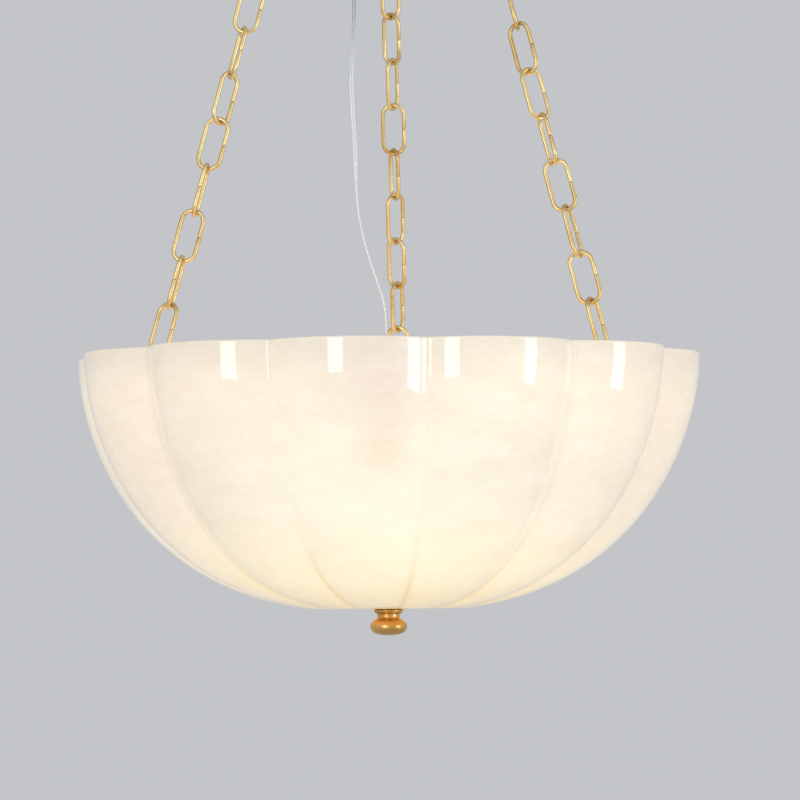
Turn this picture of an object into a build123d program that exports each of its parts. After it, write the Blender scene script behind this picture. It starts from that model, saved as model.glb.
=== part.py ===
"""Alabaster bowl pendant: a twelve-lobed translucent stone bowl, about 600 mm across, under three brass chains.

The bowl is clamped on a threaded centre rod by a turned finial. The rod hangs from a hub with three arms, one
chain is hooked to the end of each arm, and the three chains meet on a gathering ring under the ceiling canopy.
Millimetres, +Z up. The origin is on the ceiling, on the pendant's own centre line.
"""

from build123d import *
import math
import os

# ---------------------------------------------------------------- heights, all from the ceiling down
RIM_Z = -915.0  # plane of the bowl's rim
BOWL_DEPTH = 241.5
FLOOR_Z = RIM_Z - BOWL_DEPTH  # underside of the bowl

# ---------------------------------------------------------------- bowl
LOBES = 12
CREST_R = 300.0  # rim radius on the middle of a lobe
CREASE_R = 276.0  # rim radius in the crease between two lobes
BOWL_TURN = -4.4  # degrees from an arm to the nearest lobe's crest
WALL = 8.0
FLOOR_WALL = 9.0
BOWL_HOLE_R = 8.0
PROFILE_END = 0.985  # share of the full side curve that is used before the flat bottom cuts it
PROFILE_POWER = 1.85
PROFILE_ROOT = 2.6
# Depth shares of the sections that the bowl's outside and inside are lofted through.
OUTER_STEPS = (0.0, 0.20, 0.40, 0.58, 0.74, 0.87, 0.96, 1.0)
INNER_STEPS = (0.0, 0.26, 0.52, 0.72, 0.88)
INNER_FLOOR_R = 96.0

# ---------------------------------------------------------------- chains
WIRE = 4.0  # wire of the links
LINK_WIDTH = 25.0
LINKS = 18
LINK_SIDES = 6  # flats round the wire
BEND_SIDES = 3  # straight pieces round each half-round end, one of them flat across its tip
SEAM = 0.2  # open butt seam of a bent link
LINK_PLAY = 0.05  # free length at each link
# Turn of each link about its chain, in degrees from facing the front, from the arm upwards.
ROLLS = {
    "rear": (20.0, -64.0, 41.0, -47.0, 67.0, 0.0, -67.0, 43.0),
    "left": (32.0, 92.0, 5.0, 90.0, 5.0, -54.0, 68.0, -5.0),
    "right": (-60.0, 0.0, -68.0, 0.0, 75.0, -35.0, 35.0, 95.0),
}
TOP_ROLL = 90.0  # the top link stands across the gathering ring's wire

# ---------------------------------------------------------------- arms and hub
ARM_ANGLES = {"rear": 90.0, "left": 210.0, "right": -30.0}
ARM_Z = RIM_Z - 6.3
ARM_THICK = 4.0
ARM_ROOT_HIGH = 16.0
ARM_TIP_HIGH = 11.0
EYE_RADIUS = 241.0  # centre line to the eye
EYE_OUTER_R = 10.5
EYE_HOLE_R = 6.0
EYE_PLAY = 0.8
HUB_R = 28.0
HUB_HIGH = 20.0
SLOT_ROOT_R = 20.0  # where the arm's slot in the hub starts
PIN_R = 1.5
PIN_PLACE_R = 24.0
SLOT_PLAY = 0.05

# ---------------------------------------------------------------- centre rod, nuts and clamp
ROD_R = 4.95
ROD_BORE_R = 3.0
ROD_HOLE_R = 5.0  # running hole for the rod
NUT_ACROSS = 17.0
NUT_HIGH = 5.0
PLATE_R = 28.0
PLATE_THICK = 3.0
UPPER_GASKET = 2.0
LOWER_GASKET = 1.0
FINIAL_FLANGE_R = 14.0
FINIAL_NECK_R = 10.5
FINIAL_BALL_R = 17.75
FINIAL_HIGH = 24.6
FINIAL_BORE = 18.0
ROD_IN_FINIAL = 16.0

# ---------------------------------------------------------------- lamps
CLUSTER_R = 36.0
CLUSTER_WALL = 2.0
CLUSTER_SIDE = 10.0
LAMP_TILT = 35.0  # degrees from straight down
LAMP_ROOT_R = 24.0  # where a lamp's axis leaves the cluster's cone
NIPPLE_R = 4.95
HOLDER_R = 19.0
HOLDER_NECK_R = 12.0
HOLDER_START = 5.0  # along the lamp's axis, from the cone
HOLDER_LONG = 52.0
HOLDER_BORE_R = 13.6
BASE_R = 13.0
BASE_LONG = 25.0
BULB_R = 30.0
BULB_LONG = 80.0

# ---------------------------------------------------------------- ceiling end
CANOPY_R = 62.0
CANOPY_HIGH = 34.0
CANOPY_WALL = 1.2
BRACKET_LONG = 104.0
BRACKET_WIDE = 22.0
BRACKET_THICK = 2.0
SLOT_SPACING = 76.0
SLOT_LONG = 18.0
SLOT_WIDE = 5.0
COLLAR_R = 14.0
COLLAR_HIGH = 8.0
LOOP_R = 11.0  # middle of the loop's wire
LOOP_WIRE_R = 2.5
LOOP_NECK_R = 7.0
LOOP_Z = -CANOPY_HIGH - COLLAR_HIGH - 8.0 - LOOP_R - LOOP_WIRE_R
RING_R = 30.0  # middle of the gathering ring's wire
RING_WIRE_R = 3.0
RING_PLAY = 0.3
RING_LINK_PLAY = 0.5
WIRE_SIDES = 8  # flats round the wire of the ring and the loop
RING_Z = LOOP_Z - LOOP_R + LOOP_WIRE_R + RING_PLAY + RING_WIRE_R - RING_R
CHAIN_X = {"rear": 0.0, "left": -7.6, "right": 7.6}  # place on the gathering ring

# ---------------------------------------------------------------- mains cord
CORD = 4.6
CORD_EXIT = (-34.0, 14.0)
GLAND_R = 6.0
# The cord's route, chosen by eye. The first list ends level with the gathering ring's lowest point.
UPPER_ROUTE = [
    (-34.0, 14.0, -38.0),
    (-34.0, 14.0, -68.0),
    (-35.0, 14.4, -99.0),
    (-36.2, 14.2, -131.0),
]
LOWER_ROUTE = [
    (-36.2, 14.2, -131.0),
    (-37.4, 14.0, -163.0),
    (-38.0, 13.0, -212.0),
    (-38.0, 11.4, -266.0),
    (-37.4, 9.6, -322.0),
    (-36.0, 7.8, -380.0),
    (-33.6, 6.0, -438.0),
    (-30.8, 4.6, -496.0),
    (-29.0, 3.6, -552.0),
    (-29.4, 3.0, -598.0),
    (-32.6, 2.4, -640.0),
    (-31.2, 2.0, -678.0),
    (-28.9, 1.6, -716.0),
    (-28.2, 1.3, -752.0),
    (-25.6, 1.0, -782.0),
    (-18.6, 0.7, -812.0),
    (-9.0, 0.3, -841.0),
    (0.0, 0.0, -868.0),
    (0.0, 0.0, -894.8),
]

FULL_TURN = 360.0


def polar(radius, degrees, z=0.0):
    """A point at that radius and angle about the centre line."""
    angle = math.radians(degrees)
    return Vector(radius * math.cos(angle), radius * math.sin(angle), z)


def tube(outer_r, inner_r, low, high):
    """An upright tube from one height to another."""
    body = Pos(0, 0, low) * extrude(Circle(outer_r) - Circle(inner_r), high - low)
    return body


def turned(points):
    """A solid of revolution about the centre line, from its half section in radius and height."""
    section = make_face(Plane.XZ * Polyline(*points, close=True))
    return revolve(section, Axis.Z)


def save(name, shape):
    """Writes one node's file and prints what it holds."""
    export_step(shape, f"parts/{name}.step")
    print(name, len(shape.solids()), "solids", round(shape.volume, 1), "mm3")


# ================================================================= bowl


def side_share(depth_share):
    """Radius of the bowl's side, as a share of the rim's, at a share of its depth."""
    reach = (PROFILE_END * depth_share) ** PROFILE_POWER
    return (1.0 - reach) ** (1.0 / PROFILE_ROOT)


def lobed_outline(crest_r, crease_r, z):
    """One level of the bowl: twelve arcs that meet in sharp creases."""
    step = FULL_TURN / LOBES
    arcs = []
    for lobe in range(LOBES):
        middle = BOWL_TURN + lobe * step
        ends = [polar(crease_r, middle - step / 2, z), polar(crease_r, middle + step / 2, z)]
        arcs.append(ThreePointArc(ends[0], polar(crest_r, middle, z), ends[1]))
    return Face(Wire(arcs))


def side_point(depth_share, inwards):
    """Radius and height on the side, moved inwards along the side's normal."""
    small = 0.004
    low = min(depth_share + small, 1.0)
    high = max(depth_share - small, 0.0)
    across = CREST_R * (side_share(low) - side_share(high))
    down = -BOWL_DEPTH * (low - high)
    size = math.hypot(across, down)
    radius = CREST_R * side_share(depth_share) + inwards * down / size
    height = RIM_Z - BOWL_DEPTH * depth_share - inwards * across / size
    return radius, height


def make_bowl():
    crease_share = CREASE_R / CREST_R
    outer = []
    for share in OUTER_STEPS:
        radius, height = side_point(share, 0.0)
        outer.append(lobed_outline(radius, radius * crease_share, height))
    # The inner lobes keep the wall even, so their creases are a little shallower.
    inner_crease_share = crease_share - 0.009
    inner = []
    for share in INNER_STEPS:
        radius, height = side_point(share, WALL)
        inner.append(lobed_outline(radius, radius * inner_crease_share, height))
    inner.append(
        lobed_outline(INNER_FLOOR_R, INNER_FLOOR_R * inner_crease_share, FLOOR_Z + FLOOR_WALL)
    )
    bowl = loft(outer, ruled=True) - loft(inner, ruled=True)
    hole = Pos(0, 0, FLOOR_Z) * Cylinder(BOWL_HOLE_R, 4 * FLOOR_WALL)
    return bowl - hole


# ================================================================= chains


def flat_distance(wire_r, sides):
    """Distance from a flat-sided wire's middle to its flats, for the same section area as a round wire."""
    return wire_r * math.sqrt(math.pi / (sides * math.tan(math.pi / sides)))


def sweep_wire(route, flat, sides, close=False):
    """A flat-sided wire along straight runs with mitred corners. The first run starts square to its section."""
    path = Polyline(*route, close=close)
    start = Plane(origin=path @ 0, x_dir=(0, 0, 1), z_dir=path % 0)
    section = start * RegularPolygon(flat, sides, major_radius=False)
    return sweep(section, path=path, transition=Transition.RIGHT)


def make_link(inner_length):
    """One bent link, long axis along Y, wide axis along X, open by the width of its butt seam."""
    flat = flat_distance(WIRE / 2, LINK_SIDES)
    bend_r = (LINK_WIDTH - WIRE) / 2
    bend_y = inner_length / 2 + flat - bend_r
    corners = BEND_SIDES + 1
    corner_r = bend_r / math.cos(math.pi / 2 / corners)
    route = [(bend_r, SEAM / 2)]
    for side in (1, -1):
        for corner in range(corners):
            turn = math.pi * (corner + 0.5) / corners
            across = side * corner_r * math.cos(turn)
            route.append((across, side * (bend_y + corner_r * math.sin(turn))))
    route.append((bend_r, -SEAM / 2))
    return sweep_wire(route, flat, LINK_SIDES)


def make_wire_ring(radius, wire_r, steps):
    """A closed ring of flat-sided wire in the XY plane, with one straight run at each step."""
    corner_r = radius / math.cos(math.pi / steps)
    route = [(radius, 0.0)]
    for step in range(steps):
        turn = 2 * math.pi * (step + 0.5) / steps
        route.append((corner_r * math.cos(turn), corner_r * math.sin(turn)))
    return sweep_wire(route, flat_distance(wire_r, WIRE_SIDES), WIRE_SIDES, close=True)


def ring_wire_point(x):
    """Middle of the gathering ring's wire, low on the ring, at that x."""
    return Vector(x, 0, RING_Z - math.sqrt(RING_R**2 - x**2))


def chain_ends(name):
    """The chain's direction and the two points that its end links bear on."""
    ring_point = ring_wire_point(CHAIN_X[name])
    eye = polar(EYE_RADIUS, ARM_ANGLES[name], ARM_Z)
    along = (eye - ring_point).normalized()
    first = ring_point - along * (RING_WIRE_R + RING_LINK_PLAY)
    last = eye - along * (EYE_HOLE_R - EYE_PLAY)
    return along, first, last


def chain_rolls(name):
    """Every link's turn about the chain, from the arm upwards."""
    seen = list(ROLLS[name])
    hidden = LINKS - len(seen)
    half_turns = round((90.0 * hidden - (TOP_ROLL - seen[-1])) / 180.0)
    step = (TOP_ROLL + 180.0 * half_turns - seen[-1]) / hidden
    return seen + [seen[-1] + step * (i + 1) for i in range(hidden)]


def make_chain(name, link):
    """A taut chain of separate links, as one group."""
    along, first, last = chain_ends(name)
    pitch = (last - first).length / LINKS
    sideways = (Vector(1, 0, 0) - along * along.X).normalized()
    front = along.cross(sideways)
    links = []
    for index, roll in enumerate(chain_rolls(name)):
        turn = math.radians(roll)
        wide = sideways * math.cos(turn) + front * math.sin(turn)
        up = along * -1
        middle = last - along * (pitch * (index + 0.5))
        links.append(Plane(origin=middle, x_dir=wide, z_dir=wide.cross(up)).location * link)
    return Compound(children=links)


# ================================================================= arms, hub, rod and clamp


def make_arm(angle):
    """A bar on edge that tapers to a drilled round eye, drawn in its own upright plane."""
    plane = Plane(origin=(0, 0, ARM_Z), x_dir=polar(1, angle), z_dir=polar(1, angle - 90))
    bar = Polygon(
        (SLOT_ROOT_R, -ARM_ROOT_HIGH / 2),
        (EYE_RADIUS - EYE_OUTER_R / 2, -ARM_TIP_HIGH / 2),
        (EYE_RADIUS - EYE_OUTER_R / 2, ARM_TIP_HIGH / 2),
        (SLOT_ROOT_R, ARM_ROOT_HIGH / 2),
        align=None,
    )
    profile = bar + Pos(EYE_RADIUS, 0) * Circle(EYE_OUTER_R) - Pos(EYE_RADIUS, 0) * Circle(EYE_HOLE_R)
    profile = profile - Pos(PIN_PLACE_R, 0) * Circle(PIN_R)
    return extrude(plane * profile, ARM_THICK / 2, both=True)


def pin_location(angle):
    """Where the cross pin of that arm lies, along the tangent."""
    return Plane(origin=polar(PIN_PLACE_R, angle, ARM_Z), z_dir=polar(1, angle + 90)).location


def make_hub():
    """A turned drum with three slots for the arms, cross drilled for their pins."""
    hub = Pos(0, 0, ARM_Z) * (Cylinder(HUB_R, HUB_HIGH) - Cylinder(ROD_HOLE_R, HUB_HIGH))
    slot_high = ARM_ROOT_HIGH + 2 * SLOT_PLAY
    for angle in ARM_ANGLES.values():
        slot = Pos(SLOT_ROOT_R + HUB_R / 2 - SLOT_PLAY, 0, ARM_Z) * Box(
            HUB_R, ARM_THICK + 2 * SLOT_PLAY, slot_high
        )
        hub -= Rot(0, 0, angle) * slot
        hub -= pin_location(angle) * Cylinder(PIN_R, HUB_R)
    return hub


def make_arm_pins():
    length = 2 * math.sqrt(HUB_R**2 - PIN_PLACE_R**2) - 1.0
    pin = Cylinder(PIN_R, length)
    return Compound(children=[pin_location(angle) * pin for angle in ARM_ANGLES.values()])


def hex_nut(top):
    """A hexagon nut on the centre rod, by the height of its top face."""
    section = RegularPolygon(NUT_ACROSS / 2, 6, major_radius=False) - Circle(ROD_R)
    return Pos(0, 0, top - NUT_HIGH) * extrude(section, NUT_HIGH)


HUB_TOP = ARM_Z + HUB_HIGH / 2
HUB_UNDERSIDE = ARM_Z - HUB_HIGH / 2
CLUSTER_CONE_Z = HUB_UNDERSIDE - CLUSTER_SIDE
CLUSTER_FLOOR_R = 12.0
CLUSTER_FLOOR_Z = CLUSTER_CONE_Z - (CLUSTER_R - CLUSTER_FLOOR_R) * math.tan(math.radians(LAMP_TILT))
BOWL_INSIDE_Z = FLOOR_Z + FLOOR_WALL
PLATE_Z = BOWL_INSIDE_Z + UPPER_GASKET
CLAMP_PLAY = 0.05
FINIAL_TOP = FLOOR_Z - LOWER_GASKET
ROD_TOP = HUB_TOP + NUT_HIGH + 6.0
ROD_END = FINIAL_TOP - ROD_IN_FINIAL


def make_rod():
    """A hollow threaded rod, with a side hole where the wires leave it inside the lamp cluster."""
    rod = tube(ROD_R, ROD_BORE_R, ROD_END, ROD_TOP)
    return rod - Pos(0, 0, HUB_UNDERSIDE - CLUSTER_SIDE) * Rot(0, 90, 0) * Cylinder(2.2, 3 * ROD_R)


def make_rod_nuts():
    """Nuts above the hub, under the lamp cluster and above the clamp plate."""
    plate_nut_top = PLATE_Z + PLATE_THICK + CLAMP_PLAY + NUT_HIGH
    tops = (HUB_TOP + NUT_HIGH, CLUSTER_FLOOR_Z, plate_nut_top)
    return Compound(children=[hex_nut(top) for top in tops])


def make_finial():
    """A flanged neck that flares into a flattened ball, bored for the rod. Its half section is lines and arcs."""
    z = FINIAL_TOP
    ball_z = z - 16.2
    tip_z = z - FINIAL_HIGH
    tip_r = 6.0
    flare = ThreePointArc((FINIAL_NECK_R, 0, z - 7.2), (11.3, 0, z - 9.4), (13.4, 0, z - 10.8))
    shoulder = ThreePointArc((13.4, 0, z - 10.8), (16.7, 0, z - 13.1), (FINIAL_BALL_R, 0, ball_z))
    belly = ThreePointArc((FINIAL_BALL_R, 0, ball_z), (14.6, 0, ball_z - 5.5), (tip_r, 0, tip_z))
    straight = Polyline(
        (tip_r, 0, tip_z),
        (0, 0, tip_z),
        (0, 0, z),
        (FINIAL_FLANGE_R, 0, z),
        (FINIAL_FLANGE_R, 0, z - 2.0),
        (FINIAL_NECK_R, 0, z - 4.5),
        (FINIAL_NECK_R, 0, z - 7.2),
    )
    body = revolve(make_face([flare, shoulder, belly, straight]), Axis.Z)
    return body - Pos(0, 0, z - FINIAL_BORE / 2) * Cylinder(ROD_HOLE_R, FINIAL_BORE)


def make_hub_gland():
    """The cord grip screwed on the top of the rod."""
    low = HUB_TOP + NUT_HIGH
    rod_part = ROD_TOP - low
    grip_high = rod_part + 5.5
    half = [
        (ROD_R, low),
        (7.5, low),
        (7.5, low + grip_high - 3.0),
        (5.0, low + grip_high),
        (CORD / 2, low + grip_high),
        (CORD / 2, ROD_TOP),
        (ROD_R, ROD_TOP),
    ]
    return turned(half), low + grip_high


# ================================================================= lamps


def lamp_plane(angle):
    """A lamp's own frame: origin on the cluster's cone, +Z along the lamp towards its bulb."""
    cone_z = CLUSTER_CONE_Z - (CLUSTER_R - LAMP_ROOT_R) * math.tan(math.radians(LAMP_TILT))
    lean = math.radians(LAMP_TILT)
    axis = polar(math.sin(lean), angle, -math.cos(lean))
    return Plane(origin=polar(LAMP_ROOT_R, angle, cone_z), x_dir=polar(1, angle + 90), z_dir=axis)


def make_cluster():
    """The wiring box: a thin turned drum that ends in a cone with three lamp bosses."""
    lean = math.tan(math.radians(LAMP_TILT))
    inside_r = CLUSTER_R - CLUSTER_WALL
    inside_cone = CLUSTER_CONE_Z + CLUSTER_WALL * 0.4
    inside_floor = inside_cone - (inside_r - CLUSTER_FLOOR_R) * lean
    shell = turned(
        [
            (ROD_HOLE_R, CLUSTER_FLOOR_Z),
            (CLUSTER_FLOOR_R, CLUSTER_FLOOR_Z),
            (CLUSTER_R, CLUSTER_CONE_Z),
            (CLUSTER_R, HUB_UNDERSIDE),
            (inside_r, HUB_UNDERSIDE),
            (inside_r, inside_cone),
            (CLUSTER_FLOOR_R, inside_floor),
            (ROD_HOLE_R, inside_floor),
        ]
    )
    for angle in ARM_ANGLES.values():
        shell -= lamp_plane(angle).location * Cylinder(NIPPLE_R, 12.0)
    return shell


def make_lamp_nipples():
    """Short hollow threaded nipples that carry the lamp holders on the cone."""
    nipple = Pos(0, 0, 3.5) * (Cylinder(NIPPLE_R, 15.0) - Cylinder(ROD_BORE_R, 15.0))
    return Compound(children=[lamp_plane(angle).location * nipple for angle in ARM_ANGLES.values()])


def make_holder(angle):
    """A lamp holder: a cup with a stepped back, bored at the back for its nipple."""
    front = HOLDER_START + HOLDER_LONG
    back = HOLDER_START
    nipple_end = 11.0
    half = [
        (NIPPLE_R, back),
        (HOLDER_NECK_R, back),
        (HOLDER_NECK_R, back + 8.0),
        (HOLDER_R, back + 16.0),
        (HOLDER_R, front),
        (HOLDER_BORE_R, front),
        (HOLDER_BORE_R, front - BASE_LONG),
        (0.0, front - BASE_LONG),
        (0.0, nipple_end),
        (NIPPLE_R, nipple_end),
    ]
    return lamp_plane(angle).location * turned(half)


def make_bulb_base(angle):
    """The bulb's screw cap, seated on the bottom of the holder."""
    front = HOLDER_START + HOLDER_LONG
    base = Pos(0, 0, front - BASE_LONG / 2) * Cylinder(BASE_R, BASE_LONG)
    return lamp_plane(angle).location * base


def make_bulb_glass(angle):
    """The pear-shaped envelope, turned in short straight bands because it repeats and hides in the bowl."""
    start = HOLDER_START + HOLDER_LONG
    stations = (
        (0.0, 0.0),
        (BASE_R, 0.0),
        (0.50 * BULB_R, 0.12),
        (0.79 * BULB_R, 0.34),
        (0.99 * BULB_R, 0.53),
        (1.00 * BULB_R, 0.63),
        (0.86 * BULB_R, 0.82),
        (0.52 * BULB_R, 0.96),
        (0.0, 1.0),
    )
    half = [(radius, start + share * BULB_LONG) for radius, share in stations]
    return lamp_plane(angle).location * turned(half)


# ================================================================= ceiling end


def make_bracket():
    """The strip that is screwed to the ceiling, with two slots and a hole for the nipple."""
    strip = Rectangle(BRACKET_LONG, BRACKET_WIDE) - Circle(ROD_HOLE_R)
    for side in (-1, 1):
        strip -= Pos(side * SLOT_SPACING / 2, 0) * SlotOverall(SLOT_LONG, SLOT_WIDE)
    return Pos(0, 0, -BRACKET_THICK) * extrude(strip, BRACKET_THICK)


def make_canopy():
    """A spun drum with a bevelled edge that covers the bracket and the wiring."""
    wall = CANOPY_WALL
    edge = 9.0
    shell = turned(
        [
            (ROD_HOLE_R, -CANOPY_HIGH),
            (CANOPY_R - edge, -CANOPY_HIGH),
            (CANOPY_R, edge - CANOPY_HIGH),
            (CANOPY_R, 0.0),
            (CANOPY_R - wall, 0.0),
            (CANOPY_R - wall, edge - CANOPY_HIGH + 0.4 * wall),
            (CANOPY_R - edge - 0.4 * wall, wall - CANOPY_HIGH),
            (ROD_HOLE_R, wall - CANOPY_HIGH),
        ]
    )
    exit_x, exit_y = CORD_EXIT
    return shell - Pos(exit_x, exit_y, -CANOPY_HIGH) * Cylinder(GLAND_R - 1.5, 4 * wall)


NIPPLE_TOP = -BRACKET_THICK + 1.5
NIPPLE_END = -CANOPY_HIGH - COLLAR_HIGH - 5.0


def make_nipple_nuts():
    """Nuts under the bracket and inside the canopy."""
    return Compound(children=[hex_nut(-BRACKET_THICK), hex_nut(-CANOPY_HIGH + CANOPY_WALL + NUT_HIGH)])


def make_collar():
    """The turned cover ring between canopy and loop."""
    top = -CANOPY_HIGH
    return turned(
        [
            (ROD_R, top - COLLAR_HIGH),
            (LOOP_NECK_R + 1.5, top - COLLAR_HIGH),
            (COLLAR_R, top - 3.0),
            (COLLAR_R, top),
            (ROD_R, top),
        ]
    )


def make_loop():
    """A cast loop on a threaded neck. Its eye stands in the YZ plane."""
    top = -CANOPY_HIGH - COLLAR_HIGH
    neck = Pos(0, 0, top - 4.75) * Cylinder(LOOP_NECK_R, 9.5)
    eye = Pos(0, 0, LOOP_Z) * Rot(0, 90, 0) * make_wire_ring(LOOP_R, LOOP_WIRE_R, 16)
    bore = Pos(0, 0, top - 2.5) * Cylinder(ROD_R, 5.0)
    return neck + eye - bore


def make_gathering_ring():
    """The ring, in the XZ plane, that the three chains hang on."""
    return Pos(0, 0, RING_Z) * Rot(90, 0, 0) * make_wire_ring(RING_R, RING_WIRE_R, 24)


def make_canopy_gland():
    """The strain relief in the canopy's cord hole: a head below, a lip above and a bore for the cord."""
    exit_x, exit_y = CORD_EXIT
    low = -CANOPY_HIGH
    high = low + CANOPY_WALL
    half = [
        (CORD / 2, low - 4.0),
        (GLAND_R - 1.0, low - 4.0),
        (GLAND_R, low),
        (GLAND_R - 1.5, low),
        (GLAND_R - 1.5, high),
        (GLAND_R, high),
        (GLAND_R, high + 1.5),
        (CORD / 2, high + 1.5),
    ]
    return Pos(exit_x, exit_y, 0) * turned(half)


BLOCK_X = 19.0
BLOCK_SIZE = (16.0, 20.0, 12.0)
BLOCK_WIRE_HOLES = (-3.75, 3.75)


def make_terminal_block():
    """A two-way screw terminal hung under the bracket."""
    block = Box(*BLOCK_SIZE)
    for place in BLOCK_WIRE_HOLES:
        block -= Pos(0, place, -1.0) * Rot(0, 90, 0) * Cylinder(1.6, BLOCK_SIZE[0])
    top_z = -BRACKET_THICK - BLOCK_SIZE[2] / 2
    return Pos(BLOCK_X, 0, top_z) * block


# ================================================================= mains cord


def cord_radii(route):
    """The bend radius at each inner point of the route: 0.45 of the shorter run over the half turn's tangent."""
    points = [Vector(*point) for point in route]
    radii = []
    for before, here, after in zip(points, points[1:], points[2:]):
        into, out = here - before, after - here
        half_turn = math.radians(into.get_angle(out)) / 2
        radii.append(0.45 * min(into.length, out.length) / math.tan(half_turn))
    return radii


def make_cord(name, route):
    """A plain tube along the route, straight runs joined by tangent arcs, with flats round it."""
    radii = cord_radii(route)
    path = FilletPolyline(*route, radius=radii)
    flat = flat_distance(CORD / 2, WIRE_SIDES)
    section = Plane(origin=path @ 0, z_dir=path % 0) * RegularPolygon(flat, WIRE_SIDES, major_radius=False)
    cord = sweep(section, path=path)
    expected = math.pi * (CORD / 2) ** 2 * path.length
    print(name, "length", round(path.length, 1), "least radius", round(min(radii), 1))
    print(name, "volume over section times length", round(cord.volume / expected, 4))
    return cord


def main():
    os.makedirs("parts", exist_ok=True)

    save("bowl", make_bowl())

    longest = 0.0
    for name in ARM_ANGLES:
        along, first, last = chain_ends(name)
        longest = max(longest, (last - first).length / LINKS)
        print(name, "chain", round((last - first).length, 1), "mm in", LINKS, "links")
    link = make_link(longest + LINK_PLAY)
    for name, angle in ARM_ANGLES.items():
        save(f"chain_{name}", make_chain(name, link))
        save(f"arm_{name}", make_arm(angle))
        save(f"lamp_holder_{name}", make_holder(angle))
        save(f"bulb_base_{name}", make_bulb_base(angle))
        save(f"bulb_glass_{name}", make_bulb_glass(angle))

    save("hub", make_hub())
    save("arm_pins", make_arm_pins())
    save("centre_rod", make_rod())
    save("rod_nuts", make_rod_nuts())
    hub_gland, cord_end_z = make_hub_gland()
    save("hub_cord_gland", hub_gland)
    save("lamp_cluster", make_cluster())
    save("lamp_nipples", make_lamp_nipples())

    save("upper_gasket", tube(PLATE_R, BOWL_HOLE_R, BOWL_INSIDE_Z, PLATE_Z))
    save("clamp_plate", tube(PLATE_R, ROD_HOLE_R + 0.3, PLATE_Z, PLATE_Z + PLATE_THICK))
    save("lower_gasket", tube(FINIAL_FLANGE_R - 1.0, BOWL_HOLE_R, FINIAL_TOP, FLOOR_Z))
    save("finial", make_finial())

    save("ceiling_bracket", make_bracket())
    save("canopy_nipple", tube(ROD_R, ROD_BORE_R, NIPPLE_END, NIPPLE_TOP))
    save("nipple_nuts", make_nipple_nuts())
    save("canopy", make_canopy())
    save("collar", make_collar())
    save("canopy_loop", make_loop())
    save("canopy_cord_gland", make_canopy_gland())
    save("terminal_block", make_terminal_block())
    save("gathering_ring", make_gathering_ring())
    save("cord_upper", make_cord("cord_upper", UPPER_ROUTE))
    save("cord_lower", make_cord("cord_lower", LOWER_ROUTE))
    print("cord enters the hub gland at", round(cord_end_z, 2))


if __name__ == "__main__":
    main()
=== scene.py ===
# %% [markdown]
# # A bowl pendant, dressed for its portrait
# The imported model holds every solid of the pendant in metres, with the origin on the ceiling. This lesson loads it as a
# fixed frame, sets a camera and soft light, and then dresses it piece by piece: the cord, the chains, the glowing bowl
# and the brass parts. Each cell says what the real piece is, how it could be made in Blender, and why this way was
# taken.

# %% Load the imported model
import math

import bmesh
import bpy
from mathutils import Matrix, Quaternion, Vector, noise
from mathutils.geometry import interpolate_bezier


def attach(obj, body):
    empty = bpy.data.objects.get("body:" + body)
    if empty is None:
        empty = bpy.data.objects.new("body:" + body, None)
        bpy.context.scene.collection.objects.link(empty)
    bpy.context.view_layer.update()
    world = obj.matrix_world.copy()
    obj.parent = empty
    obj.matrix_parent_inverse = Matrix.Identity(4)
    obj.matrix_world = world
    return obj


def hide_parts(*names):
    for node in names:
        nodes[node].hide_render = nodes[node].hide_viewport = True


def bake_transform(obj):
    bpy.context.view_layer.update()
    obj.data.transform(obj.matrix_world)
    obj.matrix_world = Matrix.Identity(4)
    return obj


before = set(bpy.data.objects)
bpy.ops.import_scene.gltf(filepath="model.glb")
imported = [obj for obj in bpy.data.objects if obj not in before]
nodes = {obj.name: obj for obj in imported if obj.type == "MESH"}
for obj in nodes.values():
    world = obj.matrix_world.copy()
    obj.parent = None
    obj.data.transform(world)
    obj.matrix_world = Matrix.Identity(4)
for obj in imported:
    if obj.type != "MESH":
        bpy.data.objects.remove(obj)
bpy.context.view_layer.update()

# %% [markdown]
# ## Camera
# The picture was taken from about 3.5 m with a long lens, from a little below the bowl's rim, so the rim shows as a
# nearly straight line. The pendant is turned 3 degrees on its chains and leans a little under half a degree in the
# picture. A camera could be placed by eye, but a distance, a height and one aim point keep the three choices apart.

# %% Camera
RIM_Z = -0.915
BOWL_DEPTH = 0.2415
CAMERA_DISTANCE = 3.5
CAMERA_TURN = math.radians(3.0)
CAMERA_Z = -1.139
CAMERA_ROLL = math.radians(0.45)
LENS = 164.3
AIM_RIGHT = 0.0125
AIM_Z = -0.9567

right_hand = Vector((math.cos(CAMERA_TURN), math.sin(CAMERA_TURN), 0))
towards_object = Vector((-math.sin(CAMERA_TURN), math.cos(CAMERA_TURN), 0))
camera_place = -towards_object * CAMERA_DISTANCE + Vector((0, 0, CAMERA_Z))
aim = right_hand * AIM_RIGHT + Vector((0, 0, AIM_Z))
line_of_sight = (aim - camera_place).normalized()

camera_data = bpy.data.cameras.new("camera")
camera_data.lens = LENS
camera_data.sensor_width = 36
camera_data.clip_start = 0.1
camera_data.clip_end = 100
camera = bpy.data.objects.new("camera", camera_data)
camera.rotation_mode = "QUATERNION"
camera.location = camera_place
camera.rotation_quaternion = Quaternion(line_of_sight, CAMERA_ROLL) @ line_of_sight.to_track_quat("-Z", "Y")
bpy.context.scene.collection.objects.link(camera)
bpy.context.scene.camera = camera
print("camera stands at", [round(value, 3) for value in camera_place])

# %% [markdown]
# ## Numbers and nodes
# A finish is a small web of shader nodes. Drawn by hand it is easy to follow, but in code the sums would drown in
# links. So a Number wraps one output socket, and adding or multiplying Numbers adds the Math nodes. Every other node
# comes from one method, `node`, which takes the node's type, its settings and what goes into its sockets.

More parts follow.
